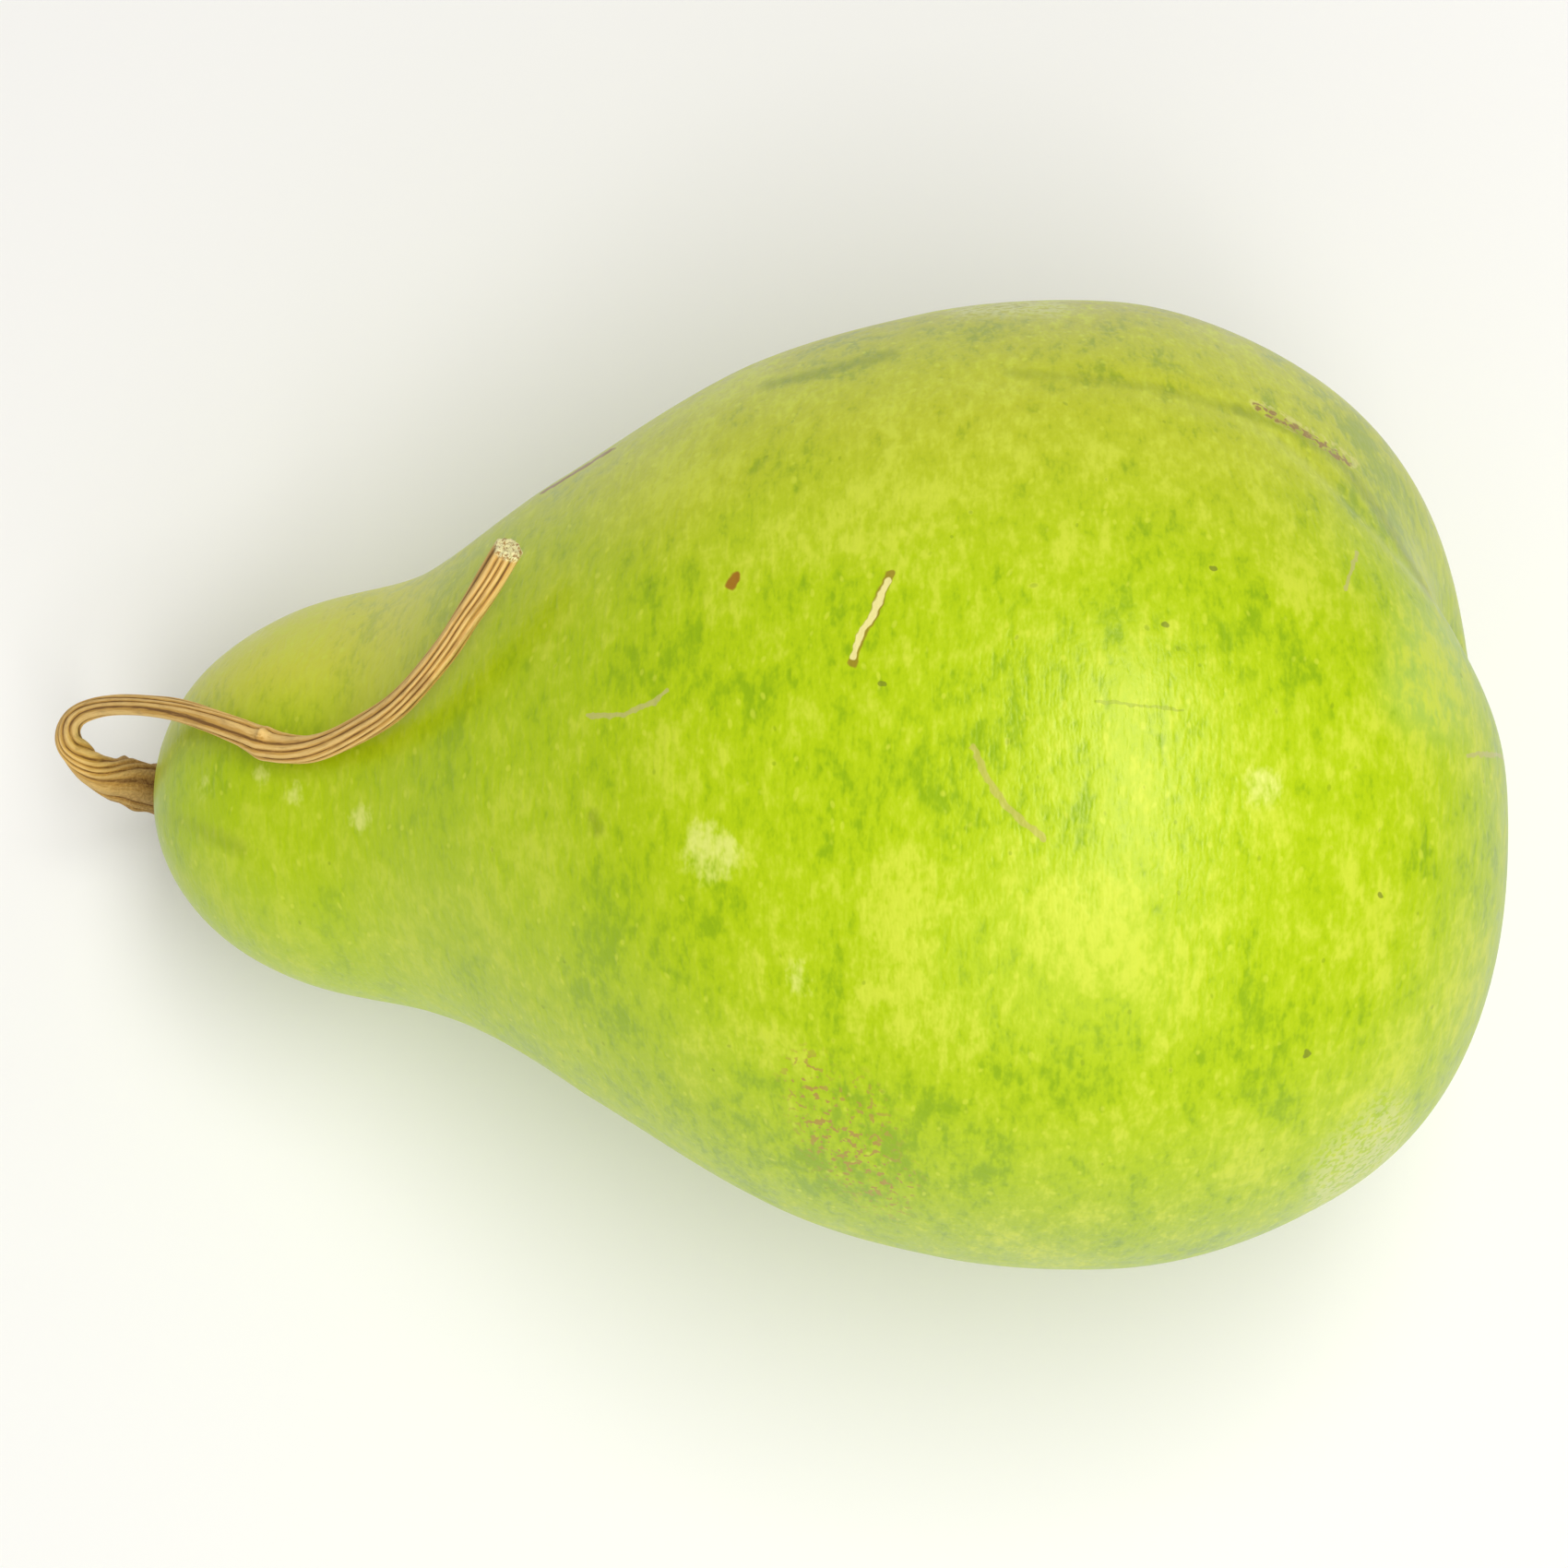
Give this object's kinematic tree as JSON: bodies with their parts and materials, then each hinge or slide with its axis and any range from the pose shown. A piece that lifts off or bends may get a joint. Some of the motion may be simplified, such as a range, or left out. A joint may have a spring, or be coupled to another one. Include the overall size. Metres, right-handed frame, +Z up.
{
  "type": "pear-shaped green pumpkin",
  "caption": "Pear-shaped green pumpkin lying on its side, smooth mottled rind, a broad furrow at the blossom end, dried ribbed stem curled back over the neck.",
  "frame": {"origin": "on the ground under the middle of the bounding box, with the fruit lying on its side as it rests", "axes": "+X from the stem end to the blossom end, +Y towards the furrow's side, +Z up"},
  "size_m": [0.3061, 0.2014, 0.1969],
  "materials": {
    "rind": "smooth waxy rind, bright yellow-green with fine darker mottling and pale cloudy patches, soft broad sheen",
    "dried_stem": "dry ribbed stem, golden tan ridges with dark brown grooves, corky grey-brown at its base, pale fibrous cut end"
  },
  "bodies": {
    "root": {"fruit": "rind", "stem": "dried_stem"}
  },
  "joints": []
}
